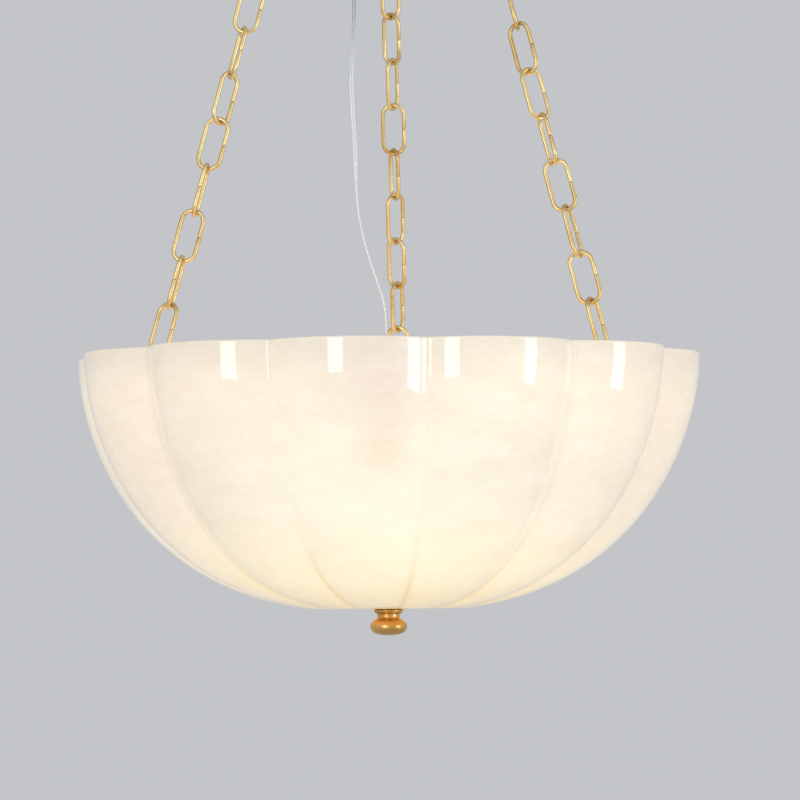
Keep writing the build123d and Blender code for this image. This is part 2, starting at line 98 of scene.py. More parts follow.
# %% A number that changes over a surface
class Number:
    def __init__(self, finish, socket):
        self.finish = finish
        self.socket = socket

    def _sum(self, operation, *values):
        return self.finish.node("Math", {"operation": operation}, dict(enumerate(values)))

    def __add__(self, other):
        return self._sum("ADD", self, other)

    def __sub__(self, other):
        return self._sum("SUBTRACT", self, other)

    def __mul__(self, other):
        return self._sum("MULTIPLY", self, other)

    def __truediv__(self, other):
        return self._sum("DIVIDE", self, other)

    def __pow__(self, other):
        return self._sum("POWER", self, other)

    def __rpow__(self, other):
        return self._sum("POWER", other, self)

    def __neg__(self):
        return self * -1.0

    __rmul__ = __mul__


# %% A finish, which is one material
def linear(code):
    """A six-digit web colour as the linear colour that a socket takes."""
    shares = [int(code[place:place + 2], 16) / 255 for place in (0, 2, 4)]
    return [*[((share + 0.055) / 1.055) ** 2.4 if share > 0.04 else share / 12.92 for share in shares], 1.0]


class Finish:
    def __init__(self, name, **constants):
        self.material = bpy.data.materials.new(name)
        self.material.use_nodes = True
        self.tree = self.material.node_tree
        self.surface = self.tree.nodes["Principled BSDF"]
        for words, value in constants.items():
            self.surface.inputs[words.replace("_", " ")].default_value = value

    def node(self, kind, settings=None, sockets=None, output=0):
        made = self.tree.nodes.new("ShaderNode" + kind)
        for setting, value in (settings or {}).items():
            setattr(made, setting, value)
        for socket, value in (sockets or {}).items():
            self.feed(made.inputs[socket], value)
        return Number(self, made.outputs[output])

    def feed(self, socket, value):
        if isinstance(value, Number):
            self.tree.links.new(value.socket, socket)
        else:
            socket.default_value = value

    def shade(self, **values):
        for words, value in values.items():
            self.feed(self.surface.inputs[words.replace("_", " ")], value)

    def place(self):
        return self.node("TexCoord", output="Object")

    def coordinate(self, place, axis):
        return self.node("SeparateXYZ", None, {0: place}, output=axis)

    def stretched(self, scale):
        return self.node("Mapping", None, {"Vector": self.place(), "Scale": scale})

    def noise(self, scale, detail=3.0, rough=0.5, vector=None):
        sockets = {"Vector": vector or self.place(), "Scale": scale, "Detail": detail, "Roughness": rough}
        return self.node("TexNoise", None, sockets, output="Fac")

    def between(self, mask, first, second):
        """Two colours mixed. A Mix node set to colours takes them in sockets 6 and 7, and gives them in output 2."""
        return self.node("Mix", {"data_type": "RGBA"}, {0: mask, 6: first, 7: second}, output=2)

    def spread(self, value, low, high, to_low, to_high):
        """A soft step: one value up to the low end, the other from the high end on."""
        sockets = {"Value": value, 1: low, 2: high, 3: to_low, 4: to_high}
        return self.node("MapRange", {"interpolation_type": "SMOOTHSTEP"}, sockets)

    def bump(self, height, distance, strength=1.0):
        self.shade(Normal=self.node("Bump", None, {"Height": height, "Distance": distance, "Strength": strength}))


def tell(*finishes):
    for finish in finishes:
        print("finish", finish.material.name, "has", len(finish.tree.nodes), "nodes")


# %% [markdown]
# ## Light
# A bright room with tall windows in front of the pendant: each lobe of the bowl shows one thin white picture of a
# window just under its rim. A world of even light grey stands for the walls, and lamps shaped as tall panes stand for
# the windows. A picture of a room would do it too, but panes of light are plain and can be set one by one. The upper
# panes are seen only as reflections: they lengthen the highlights on the chains and leave the light on the stone alone.
# The two panes behind the pendant do the opposite.

# %% The room
WALL_GREY = linear("C3C5C8")
PANE_DISTANCE = 4.0
TRANSOM_Z = 0.5

world = bpy.data.worlds.new("room")
bpy.context.scene.world = world
world.use_nodes = True
backdrop = world.node_tree.nodes["Background"]
backdrop.inputs["Color"].default_value = WALL_GREY
backdrop.inputs["Strength"].default_value = 1.0


def pane(name, turn, width, top_z, sill_z, radiance, seen_in_gloss=True, lights_matt=True):
    """A tall pane of light at that angle from the camera's side, facing the pendant's centre line."""
    height = top_z - sill_z
    lamp = bpy.data.lights.new(name, "AREA")
    lamp.shape = "RECTANGLE"
    lamp.size = width
    lamp.size_y = height
    lamp.energy = radiance * math.pi * width * height
    holder = bpy.data.objects.new(name, lamp)
    angle = CAMERA_TURN - math.pi / 2 + math.radians(turn)
    holder.location = (PANE_DISTANCE * math.cos(angle), PANE_DISTANCE * math.sin(angle), (top_z + sill_z) / 2)
    level = Vector((-math.cos(angle), -math.sin(angle), 0))
    holder.rotation_euler = level.to_track_quat("-Z", "Y").to_euler()
    holder.visible_camera = False
    holder.visible_glossy = seen_in_gloss
    holder.visible_diffuse = lights_matt
    bpy.context.scene.collection.objects.link(holder)
    print("pane", name, width, "by", round(height, 2), "m")


pane("window_left", turn=-23, width=1.12, top_z=TRANSOM_Z, sill_z=-1.86, radiance=5.5)
pane("window_right", turn=63, width=1.05, top_z=TRANSOM_Z, sill_z=-1.97, radiance=5.5)
pane("window_left_top", turn=-23, width=1.12, top_z=3.2, sill_z=TRANSOM_Z, radiance=2.0, lights_matt=False)
pane("window_right_top", turn=63, width=1.05, top_z=3.2, sill_z=TRANSOM_Z, radiance=2.0, lights_matt=False)
pane("fill_back_left", turn=-140, width=1.6, top_z=0.8, sill_z=-1.5, radiance=1.2, seen_in_gloss=False)
pane("fill_back_right", turn=150, width=1.6, top_z=0.8, sill_z=-1.5, radiance=1.2, seen_in_gloss=False)

bpy.context.scene.view_settings.view_transform = "Standard"

# %% [markdown]
# ## Floor
# The floor is far below and out of the picture, and shows only from above. It could end in a wall, but the wall would
# stand between the pendant and the cameras behind it. So it is one wide disc that fades into the room's own grey.

# %% The floor
FLOOR_Z = -2.4
FLOOR_R = 30
FADE_START = 2.3
FADE_END = 4.0

floor_shape = bmesh.new()
at_floor = Matrix.Translation((0, 0, FLOOR_Z))
bmesh.ops.create_circle(floor_shape, cap_ends=True, radius=FLOOR_R, segments=96, matrix=at_floor)
floor_mesh = bpy.data.meshes.new("floor")
floor_shape.to_mesh(floor_mesh)
floor_shape.free()
floor = bpy.data.objects.new("floor", floor_mesh)
bpy.context.scene.collection.objects.link(floor)

paving = Finish("paving", Base_Color=linear("C9CACC"), Roughness=0.9)
from_origin = paving.node("VectorMath", {"operation": "LENGTH"}, {0: paving.place()}, output="Value")
far_away = paving.spread(from_origin, FADE_START, FADE_END, 0.0, 1.0)
glow = paving.node("Emission", None, {"Color": WALL_GREY, "Strength": 1.0})
fade = paving.tree.nodes.new("ShaderNodeMixShader")
paving.feed(fade.inputs[0], far_away)
paving.tree.links.new(paving.surface.outputs[0], fade.inputs[1])
paving.tree.links.new(glow.socket, fade.inputs[2])
paving.tree.links.new(fade.outputs[0], paving.tree.nodes["Material Output"].inputs["Surface"])
floor_mesh.materials.append(paving.material)
print("floor at", FLOOR_Z, "m, fades out at", FADE_END, "m from the origin")

# %% [markdown]
# ## The cord's route
# A clear flat cord with two cores leaves a gland in the canopy, runs down beside the rear chain, kinks a little where
# it was once folded, and goes into the grip on top of the centre rod. Its line is a NURBS spline through a few control
# points, because a real cord has no corners. The route is in two lengths that meet level with the gathering ring's
# lowest point, where the pendant swings.

# %% The cord's line
UPPER_ROUTE = [
    (-0.0340, 0.0140, -0.0380),
    (-0.0340, 0.0140, -0.0680),
    (-0.0350, 0.0144, -0.0990),
    (-0.0362, 0.0142, -0.1310),
]
LOWER_ROUTE = [
    (-0.0362, 0.0142, -0.1310),
    (-0.0374, 0.0140, -0.1630),
    (-0.0380, 0.0130, -0.2120),
    (-0.0380, 0.0114, -0.2660),
    (-0.0374, 0.0096, -0.3220),
    (-0.0360, 0.0078, -0.3800),
    (-0.0336, 0.0060, -0.4380),
    (-0.0308, 0.0046, -0.4960),
    (-0.0290, 0.0036, -0.5520),
    (-0.0294, 0.0030, -0.5980),
    (-0.0326, 0.0024, -0.6400),
    (-0.0312, 0.0020, -0.6780),
    (-0.0289, 0.0016, -0.7160),
    (-0.0282, 0.0013, -0.7520),
    (-0.0256, 0.0010, -0.7820),
    (-0.0186, 0.0007, -0.8120),
    (-0.0090, 0.0003, -0.8410),
    (0.0, 0.0, -0.8680),
    (0.0, 0.0, -0.8948),
]


def line_through(points):
    """The points that a NURBS spline with those control points runs through."""
    curve = bpy.data.curves.new("route", "CURVE")
    curve.dimensions = "3D"
    curve.resolution_u = 14
    spline = curve.splines.new("NURBS")
    spline.points.add(len(points) - 1)
    for control, point in zip(spline.points, points):
        control.co = (*point, 1.0)
    spline.order_u = 3
    spline.use_endpoint_u = True
    holder = bpy.data.objects.new("route", curve)
    bpy.context.scene.collection.objects.link(holder)
    bpy.context.view_layer.update()
    line = bpy.data.meshes.new_from_object(holder)
    found = [vertex.co.copy() for vertex in line.vertices]
    bpy.data.objects.remove(holder)
    bpy.data.curves.remove(curve)
    bpy.data.meshes.remove(line)
    return found


def length_of(points):
    return sum((after - before).length for before, after in zip(points, points[1:]))


upper_line = line_through(UPPER_ROUTE)
lower_line = line_through(LOWER_ROUTE)
print("cord lengths", round(length_of(upper_line), 4), round(length_of(lower_line), 4))

# %% [markdown]
# ## Making pieces
# Every piece starts as a bmesh, and ends as an object at the origin; most of them then ride on a body of the model.
# One function does the ending for all of them: it makes the mesh, shades it smooth up to a sharp angle, gives it its
# finish, and says which nodes of the model it stands for.

# %% From a bmesh to a piece
def as_piece(name, shape, finish, stands_for=(), sharp=35.0):
    mesh = bpy.data.meshes.new(name)
    shape.to_mesh(mesh)
    shape.free()
    mesh.shade_smooth()
    mesh.set_sharp_from_angle(angle=math.radians(sharp))
    mesh.materials.append(finish.material)
    piece = bpy.data.objects.new(name, mesh)
    bpy.context.scene.collection.objects.link(piece)
    if stands_for:
        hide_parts(*stands_for)
    print(name, len(mesh.polygons), "faces")
    return piece


def only(kind, geometry):
    return [element for element in geometry if isinstance(element, kind)]


def grow(shape, ring):
    """Extrudes a ring of edges and returns the new ring and its vertices, still where the old ones are."""
    grown = bmesh.ops.extrude_edge_only(shape, edges=ring)["geom"]
    fresh = set(only(bmesh.types.BMVert, grown))
    edges = [edge for edge in only(bmesh.types.BMEdge, grown) if set(edge.verts) <= fresh]
    return edges, list(fresh)


def close(shape):
    """Closes open ends, merges doubles and points the faces outwards."""
    bmesh.ops.remove_doubles(shape, verts=shape.verts, dist=1e-6)
    open_edges = [edge for edge in shape.edges if edge.is_boundary]
    if open_edges:
        bmesh.ops.holes_fill(shape, edges=open_edges, sides=0)
    bmesh.ops.recalc_face_normals(shape, faces=shape.faces)
    return shape


def turned(profile, steps=72):
    """A solid of revolution about the centre line, from its half section in radius and height."""
    shape = bmesh.new()
    points = [shape.verts.new((radius, 0, height)) for radius, height in profile]
    outline = [shape.edges.new(pair) for pair in zip(points, points[1:])]
    bmesh.ops.spin(
        shape, geom=points + outline, cent=(0, 0, 0), axis=(0, 0, 1), dvec=(0, 0, 0),
        angle=2 * math.pi, steps=steps, use_merge=True, use_duplicate=False,
    )
    return close(shape)


def curve_points(start, pull_start, pull_end, end, count):
    """Points on one smooth bend of a half section, from its ends and the two points that it leans to."""
    found = interpolate_bezier(*[Vector((*point, 0)) for point in (start, pull_start, pull_end, end)], count)
    return [(point.x, point.y) for point in found]


# %% [markdown]
# ## Clear cord
# The sheath is a flat figure of eight, 4.6 mm wide, and the two tinned cores show through it: as grey lines high up,
# and nearly white near the bowl. It faces the camera high up and turns edge on lower down. A curve with a round bevel
# can't be flat and twist at a chosen place, so a section ring is extruded along the line and turned at each step. The
# cores' grey is mixed by height with a pale that is painted light, the bowl's light on them near the bowl, which is
# simpler to set than the light that falls on so thin a wire.

# %% Cord finishes
CORES_PALE_Z = -0.66
CORES_GREY_Z = -0.56

cord_sheath = Finish("clear_sheath", Base_Color=linear("E9EDF0"), Roughness=0.12, IOR=1.45, Coat_Weight=0.4)
sheath_haze = cord_sheath.noise(220.0, 2.0)
cord_sheath.shade(Alpha=cord_sheath.spread(sheath_haze, 0.3, 0.7, 0.22, 0.32))
cord_sheath.bump(cord_sheath.noise(300.0, 2.0), 0.00001, 0.3)

cord_core = Finish("tinned_core", Metallic=0.2, Roughness=0.4)
core_shade = cord_core.noise(180.0, 2.0)
core_grey = cord_core.between(core_shade, linear("46555F"), linear("687883"))
# Painted light: the cores turn pale low down, where the bowl's light falls on them.
core_painted_lit = cord_core.between(core_shade, linear("EEF1F2"), linear("FAFBFB"))
near_bowl_light = cord_core.spread(cord_core.coordinate(cord_core.place(), "Z"), CORES_PALE_Z, CORES_GREY_Z, 1.0, 0.0)
cord_core.shade(Base_Color=cord_core.between(near_bowl_light, core_grey, core_painted_lit))
cord_core.bump(cord_core.noise(1500.0, 2.0), 0.000005, 0.5)
tell(cord_sheath, cord_core)

# %% Cord pieces
CORD_WIDE = 0.0046
CORD_THICK = 0.0024
CORE_APART = 0.0011
CORE_R = 0.00055
WAIST = 0.28
WAIST_REACH = 0.2
SHEATH_SIDES = 20
CORE_SIDES = 10
TWIST_FROM_Z = -0.690
TWIST_TO_Z = -0.775
TWIST = math.radians(78)


def cord_frames(line):
    """At each point of the line: along the cord is Z, across its flat is X."""
    frames = []
    for index, point in enumerate(line):
        before, after = line[max(index - 1, 0)], line[min(index + 1, len(line) - 1)]
        along = (after - before).normalized()
        share = min(max((TWIST_FROM_Z - point.z) / (TWIST_FROM_Z - TWIST_TO_Z), 0.0), 1.0)
        turn = TWIST * share * share * (3 - 2 * share)
        wide = Vector((math.cos(turn), math.sin(turn), 0))
        wide = (wide - along * wide.dot(along)).normalized()
        frames.append(Matrix.Translation(point) @ Matrix((wide, along.cross(wide), along)).transposed().to_4x4())
    return frames


def sweep_section(shape, frames, wide, thick, sides, offset=0.0, waist=0.0):
    """Extrudes an oval ring from frame to frame. A waist pinches it in the middle, as on a two-core cord."""
    size = Matrix.Diagonal((wide / 2, thick / 2, 1, 1))
    shift = Matrix.Translation((offset, 0, 0))
    made = bmesh.ops.create_circle(shape, cap_ends=False, radius=1.0, segments=sides, matrix=shift @ size)
    ring_points = made["verts"]
    for vertex in ring_points:
        vertex.co.y *= 1 - waist * math.exp(-((vertex.co.x / (WAIST_REACH * wide)) ** 2))
    bmesh.ops.transform(shape, matrix=frames[0], verts=ring_points)
    ring = list({edge for vertex in ring_points for edge in vertex.link_edges})
    for before, after in zip(frames, frames[1:]):
        ring, fresh = grow(shape, ring)
        bmesh.ops.transform(shape, matrix=after @ before.inverted(), verts=fresh)


def make_cord(part, line):
    """One length of the cord: a sheath and its two cores."""
    frames = cord_frames(line)
    sheath_shape = bmesh.new()
    sweep_section(sheath_shape, frames, CORD_WIDE, CORD_THICK, SHEATH_SIDES, waist=WAIST)
    sheath = as_piece(f"cord_{part}_sheath", close(sheath_shape), cord_sheath, [f"cord_{part}"], 60)
    core_shape = bmesh.new()
    for side in (-1, 1):
        sweep_section(core_shape, frames, 2 * CORE_R, 2 * CORE_R, CORE_SIDES, offset=side * CORE_APART)
    cores = as_piece(f"cord_{part}_cores", close(core_shape), cord_core, (), 60)
    for piece in (sheath, cores):
        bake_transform(piece)


make_cord("upper", upper_line)
make_cord("lower", lower_line)

# %% [markdown]
# ## Brass
# The chains and fittings are satin brass: a warm gold that is a little uneven, with fine marks from drawing and
# turning. Plain metal with one colour looks like plastic gold, so slow noise shifts the colour, fine stretched noise
# roughens the gloss, and a little bump breaks up the long highlights. The chains are the palest of the three.

# %% Brass finishes
def brass(name, light, dark, rough, grain_scale, scratch):
    made = Finish(name, Metallic=1.0)
    tarnish = made.noise(28.0, 3.0, 0.5)
    grain = made.noise(1.0, 3.0, 0.6, made.stretched(grain_scale))
    made.shade(Base_Color=made.between(made.spread(tarnish, 0.4, 0.75, 0.0, 1.0), linear(light), linear(dark)))
    made.shade(Roughness=made.spread(grain, 0.2, 0.8, rough - 0.04, rough + 0.06))
    made.bump(grain, scratch, 0.5)
    return made


chain_brass = brass("chain_brass", "E8CF98", "CCA868", rough=0.39, grain_scale=(160, 160, 60), scratch=0.000002)
turned_brass = brass("turned_brass", "E2B872", "CB964A", rough=0.34, grain_scale=(60, 60, 1400), scratch=0.00001)
bar_brass = brass("bar_brass", "E2BC74", "CB9B52", rough=0.33, grain_scale=(300, 300, 900), scratch=0.00002)
tell(chain_brass, turned_brass, bar_brass)

# %% [markdown]
# ## Chains
# Each chain is 18 links of 4 mm wire, bent round and left unwelded, so a thin butt seam shows half way along one side.
# Links could be copied with an array, but these lie at uneven turns, as the picture shows. One link is built by
# extruding and spinning a ring of wire, and is then copied into each chain at its own turn.

# %% One link
WIRE = 0.004
LINK_WIDTH = 0.025
LINKS = 18
LINK_SLACK = 0.00005
SEAM = 0.00035
SEAM_ROUND = 0.00035
SEAM_EDGE_TURN = 1.2
WIRE_SIDES = 18
BEND_STEPS = 16
RING_Z = -0.0987
RING_R = 0.030
RING_WIRE_R = 0.003
RING_SEAT = 0.0005
EYE_RADIUS = 0.241
EYE_HOLE_R = 0.006
EYE_SEAT = 0.0008
ARM_Z = RIM_Z - 0.0063
ARM_ANGLES = {"rear": 90.0, "left": 210.0, "right": -30.0}
CHAIN_X = {"rear": 0.0, "left": -0.0076, "right": 0.0076}
ROLLS = {
    "rear": [20, -64, 41, -47, 67, 0, -67, 43],
    "left": [32, 92, 5, 90, 5, -54, 68, -5],
    "right": [-60, 0, -68, 0, 75, -35, 35, 95],
}
TOP_ROLL = 90.0


def make_link(inner_length):
    """One bent link, long along Y and wide along X, with its seam on the +X side."""
    shape = bmesh.new()
    bend_r = (LINK_WIDTH - WIRE) / 2
    bend_y = inner_length / 2 + WIRE / 2 - bend_r
    facing = Matrix.Translation((bend_r, SEAM / 2, 0)) @ Matrix.Rotation(math.pi / 2, 4, "X")
    made = bmesh.ops.create_circle(shape, cap_ends=False, radius=WIRE / 2, segments=WIRE_SIDES, matrix=facing)
    ring = list({edge for vertex in made["verts"] for edge in vertex.link_edges})
    for side, run in ((1, bend_y - SEAM / 2), (-1, 2 * bend_y)):
        ring, fresh = grow(shape, ring)
        bmesh.ops.translate(shape, vec=(0, side * run, 0), verts=fresh)
        spun = bmesh.ops.spin(
            shape, geom=ring, cent=(0, side * bend_y, 0), axis=(0, 0, 1), dvec=(0, 0, 0),
            angle=math.pi, steps=BEND_STEPS, use_merge=False, use_duplicate=False,
        )["geom_last"]
        ring = only(bmesh.types.BMEdge, spun)
    ring, fresh = grow(shape, ring)
    bmesh.ops.translate(shape, vec=(0, bend_y - SEAM / 2, 0), verts=fresh)
    close(shape)
    rims = [edge for edge in shape.edges if edge.calc_face_angle(0) > SEAM_EDGE_TURN]
    bmesh.ops.bevel(
        shape, geom=rims, offset=SEAM_ROUND, affect="EDGES", segments=2, profile=0.5, material=-1, clamp_overlap=True,
    )
    mesh = bpy.data.meshes.new("link")
    shape.to_mesh(mesh)
    shape.free()
    return mesh


# %% Three chains
def chain_ends(name):
    """The chain's direction and the two points that its end links bear on."""
    x = CHAIN_X[name]
    ring_point = Vector((x, 0, RING_Z - math.sqrt(RING_R**2 - x**2)))
    angle = math.radians(ARM_ANGLES[name])
    eye = Vector((EYE_RADIUS * math.cos(angle), EYE_RADIUS * math.sin(angle), ARM_Z))
    along = (eye - ring_point).normalized()
    first = ring_point - along * (RING_WIRE_R + RING_SEAT)
    last = eye - along * (EYE_HOLE_R - EYE_SEAT)
    return along, first, last


def chain_rolls(name):
    """Every link's turn about the chain, from the arm upwards: eight as in the picture, the rest evenly."""
    seen = ROLLS[name]
    hidden = LINKS - len(seen)
    half_turns = round((90.0 * hidden - (TOP_ROLL - seen[-1])) / 180.0)
    step = (TOP_ROLL + 180.0 * half_turns - seen[-1]) / hidden
    return seen + [seen[-1] + step * (place + 1) for place in range(hidden)]


def make_chain(name):
    along, first, last = chain_ends(name)
    pitch = (last - first).length / LINKS
    link = make_link(pitch + LINK_SLACK)
    sideways = (Vector((1, 0, 0)) - along * along.x).normalized()
    front = along.cross(sideways)
    up = -along
    shape = bmesh.new()
    for index, roll in enumerate(chain_rolls(name)):
        turn = math.radians(roll)
        wide = sideways * math.cos(turn) + front * math.sin(turn)
        middle = last - along * (pitch * (index + 0.5))
        before = set(shape.verts)
        shape.from_mesh(link)
        fresh = [vertex for vertex in shape.verts if vertex not in before]
        stand = Matrix((wide, up, wide.cross(up))).transposed().to_4x4()
        bmesh.ops.transform(shape, matrix=Matrix.Translation(middle) @ stand, verts=fresh)
    bpy.data.meshes.remove(link)
    piece = as_piece(f"chain_{name}_links", shape, chain_brass, [f"chain_{name}"], 40)
    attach(piece, "pendant")


for name in ARM_ANGLES:
    make_chain(name)

# %% [markdown]
# ## Bowl
# Twelve lobes meet in soft creases, and the wall is 8 mm of polished alabaster. Cloth or sculpting would lose the even
# lobes, so the shell is built ring by ring: a circle's points are moved out to the lobed outline, and the ring is
# extruded down the side. The inner wall is a second shell inside it, and the rims are bridged. Slow noise of less than
# a tenth of a millimetre stands for hand polishing, and makes the edges of the reflections waver.

# %% The bowl's forms
LOBES = 12
CREST_R = 0.300
CREASE_R = 0.276
BOWL_TURN = -4.4
WALL = 0.008
FLOOR_THICK = 0.009
BOWL_FLOOR_Z = RIM_Z - BOWL_DEPTH
INNER_FLOOR_Z = BOWL_FLOOR_Z + FLOOR_THICK
INNER_FLOOR_R = 0.096
HOLE_R = 0.008
RIM_ROUND = 0.0018
SIDE_REACH = 0.985
SIDE_DROP = 1.85
SIDE_FULLNESS = 2.6
SLOPE_STEP = 0.004
LOBE_STEPS = 24
SIDE_STEPS = 34
FLOOR_STEPS = 7
CREASE_SOFT = 0.6
HAND_POLISH = 0.00009
POLISH_GRAIN = 60


def side_share(depth_share):
    """Radius of the bowl's side, as a share of the rim's, at a share of its depth."""
    return (1.0 - (SIDE_REACH * depth_share) ** SIDE_DROP) ** (1.0 / SIDE_FULLNESS)


def side_point(depth_share, inwards):
    """Radius and height on the side, moved inwards along the side's normal."""
    low, high = min(depth_share + SLOPE_STEP, 1.0), max(depth_share - SLOPE_STEP, 0.0)
    across = CREST_R * (side_share(low) - side_share(high))
    down = -BOWL_DEPTH * (low - high)
    size = math.hypot(across, down)
    radius = CREST_R * side_share(depth_share) + inwards * down / size
    return radius, RIM_Z - BOWL_DEPTH * depth_share - inwards * across / size


def sharp_outline(angle, crease_share):
    """Distance to the lobed outline at an angle from a crest, for a crest radius of 1."""
    half = math.radians(180 / LOBES)
    chord = crease_share * math.sin(half)
    rise = 1 - crease_share * math.cos(half)
    arc_r = (chord**2 + rise**2) / (2 * rise)
    middle = 1 - arc_r
    folded = (angle + half) % (2 * half) - half
    across = middle * math.sin(folded)
    return middle * math.cos(folded) + math.sqrt(arc_r**2 - across**2)


def soft_outline(angle, crease_share):
    """The same outline with its creases rounded, by averaging a little to each side."""
    spread = [math.radians(CREASE_SOFT) * place / 3 for place in range(-3, 4)]
    return sum(sharp_outline(angle + small, crease_share) for small in spread) / len(spread)


def lobe_angles():
    """Angles from the first crest, closer together near the creases."""
    half = 180 / LOBES
    steps = [half * math.sin(math.pi * (place / LOBE_STEPS - 0.5)) for place in range(LOBE_STEPS)]
    return [math.radians(lobe * 2 * half + step) for lobe in range(LOBES) for step in steps]


def place_ring(ring_points, radius, height, crease_share, lobed=1.0):
    """Moves a ring's points to the lobed outline, or part of the way to a circle."""
    for vertex, angle in zip(ring_points, lobe_angles()):
        reach = radius * (1 + lobed * (soft_outline(angle, crease_share) - 1))
        turn = angle + math.radians(BOWL_TURN)
        on_wall = Vector((reach * math.cos(turn), reach * math.sin(turn), height))
        uneven = lobed * HAND_POLISH * noise.noise(on_wall * POLISH_GRAIN)
        vertex.co = on_wall + uneven * on_wall.normalized()


def lobed_shell(shape, levels, crease_share):
    """A shell from rim to hole, one ring to each level of radius, height and share of lobing."""
    made = bmesh.ops.create_circle(shape, cap_ends=False, radius=1.0, segments=LOBES * LOBE_STEPS)
    ring_points = made["verts"]
    first_ring = list({edge for vertex in ring_points for edge in vertex.link_edges})
    place_ring(ring_points, *levels[0][:2], crease_share, levels[0][2])
    ring = first_ring
    for radius, height, lobed in levels[1:]:
        following = {}
        grown = bmesh.ops.extrude_edge_only(shape, edges=ring)["geom"]
        fresh = set(only(bmesh.types.BMVert, grown))
        for vertex in fresh:
            for edge in vertex.link_edges:
                if edge.other_vert(vertex) not in fresh:
                    following[edge.other_vert(vertex)] = vertex
        ring_points = [following[vertex] for vertex in ring_points]
        ring = [edge for edge in only(bmesh.types.BMEdge, grown) if set(edge.verts) <= fresh]
        place_ring(ring_points, radius, height, crease_share, lobed)
    return first_ring, ring


print("bowl radius at half depth", round(CREST_R * side_share(0.5), 4))

# %% The bowl's two walls
INNER_LOBING = CREASE_R / CREST_R - 0.009


def side_levels(inwards, end_share, steps):
    shares = [end_share * (1 - (1 - place / steps) ** 1.6) for place in range(steps + 1)]
    return [(*side_point(share, inwards), 1.0) for share in shares]


def floor_levels(radius, height, steps):
    """Rings across the flat floor to the rod's hole, which turn round as they shrink."""
    found = []
    for place in range(1, steps + 1):
        share = place / steps
        found.append((radius + (HOLE_R - radius) * share, height, 1 - share))
    return found


bowl_shape = bmesh.new()
outer_levels = side_levels(0.0, 1.0, SIDE_STEPS)
outer_levels += floor_levels(outer_levels[-1][0], BOWL_FLOOR_Z, FLOOR_STEPS)
outer_rim, outer_hole = lobed_shell(bowl_shape, outer_levels, CREASE_R / CREST_R)
inner_levels = [level for level in side_levels(WALL, SIDE_REACH, SIDE_STEPS) if level[1] > INNER_FLOOR_Z]
inner_levels += [(INNER_FLOOR_R, INNER_FLOOR_Z, 1.0)]
inner_levels += floor_levels(INNER_FLOOR_R, INNER_FLOOR_Z, FLOOR_STEPS)
inner_rim, inner_hole = lobed_shell(bowl_shape, inner_levels, INNER_LOBING)
bmesh.ops.bridge_loops(bowl_shape, edges=outer_rim + inner_rim)
bmesh.ops.bridge_loops(bowl_shape, edges=outer_hole + inner_hole)
bmesh.ops.recalc_face_normals(bowl_shape, faces=bowl_shape.faces)
bmesh.ops.bevel(
    bowl_shape, geom=outer_rim + inner_rim, offset=RIM_ROUND, affect="EDGES", segments=3, profile=0.5,
    material=-1, clamp_overlap=True,
)

# %% [markdown]
# ## Lit alabaster
# The stone passes light, so the wall glows from within: cream at the sides, nearly white in the middle, a little
# orange at the bottom, with two soft shadows. Real scattering needs far more samples to settle, so the glow and its
# shadows are painted as the surface's own light, a sum of soft spots. Each has a place and a width in metres and a
# colour, which below zero takes away light as painted shade. The room's light falls on top, and a clear coat carries
# the windows. There are three lamps, so the place is first folded into one third of a turn, and one list of spots
# serves every side. A place folded into one lobe paints a thin tan shade low in each crease.

# %% Alabaster finish
alabaster = Finish(
    "lit_alabaster", Roughness=0.5, Specular_IOR_Level=0.0, Coat_Weight=1.0, Coat_Roughness=0.03,
    Emission_Strength=1.0,
)
clouds = alabaster.noise(1.0, 5.0, 0.55, alabaster.stretched((20, 20, 44)))
veins = alabaster.noise(1.0, 6.0, 0.6, alabaster.stretched((80, 80, 170)))
stone = 0.55 * clouds + 0.45 * veins
pale_stone = alabaster.spread(stone, 0.3, 0.7, 0.0, 1.0)
alabaster.shade(Base_Color=alabaster.between(pale_stone, linear("CDC5B8"), linear("D6CFC4")))


# %% Folding the place and adding light
def folded(finish, parts, middle):
    """The place turned about the centre line: every part of a full turn comes to lie about the X axis."""
    place = finish.place()
    x, y = (finish.coordinate(place, axis) for axis in "XY")
    angle = finish.node("Math", {"operation": "ARCTAN2"}, {0: y, 1: x})
    part = 2 * math.pi / parts
    whole = finish.node("Math", {"operation": "ROUND"}, {0: (angle - middle) / part})
    back = -(whole * part + middle)
    return finish.node("VectorRotate", {"rotation_type": "Z_AXIS"}, {"Vector": place, "Angle": back})


def spot(finish, place, centre, width):
    """A soft round mask about a point, 1 in its middle."""
    away = finish.node("VectorMath", {"operation": "DISTANCE"}, {0: place, 1: centre}, output="Value")
    return math.e ** -((away / width) ** 2)


def add_light(finish, light, mask, colour):
    """Adds a colour as far as the mask says. Below zero it takes light away."""
    more = finish.node("VectorMath", {"operation": "SCALE"}, {0: colour, "Scale": mask})
    return finish.node("VectorMath", {"operation": "ADD"}, {0: light, 1: more})
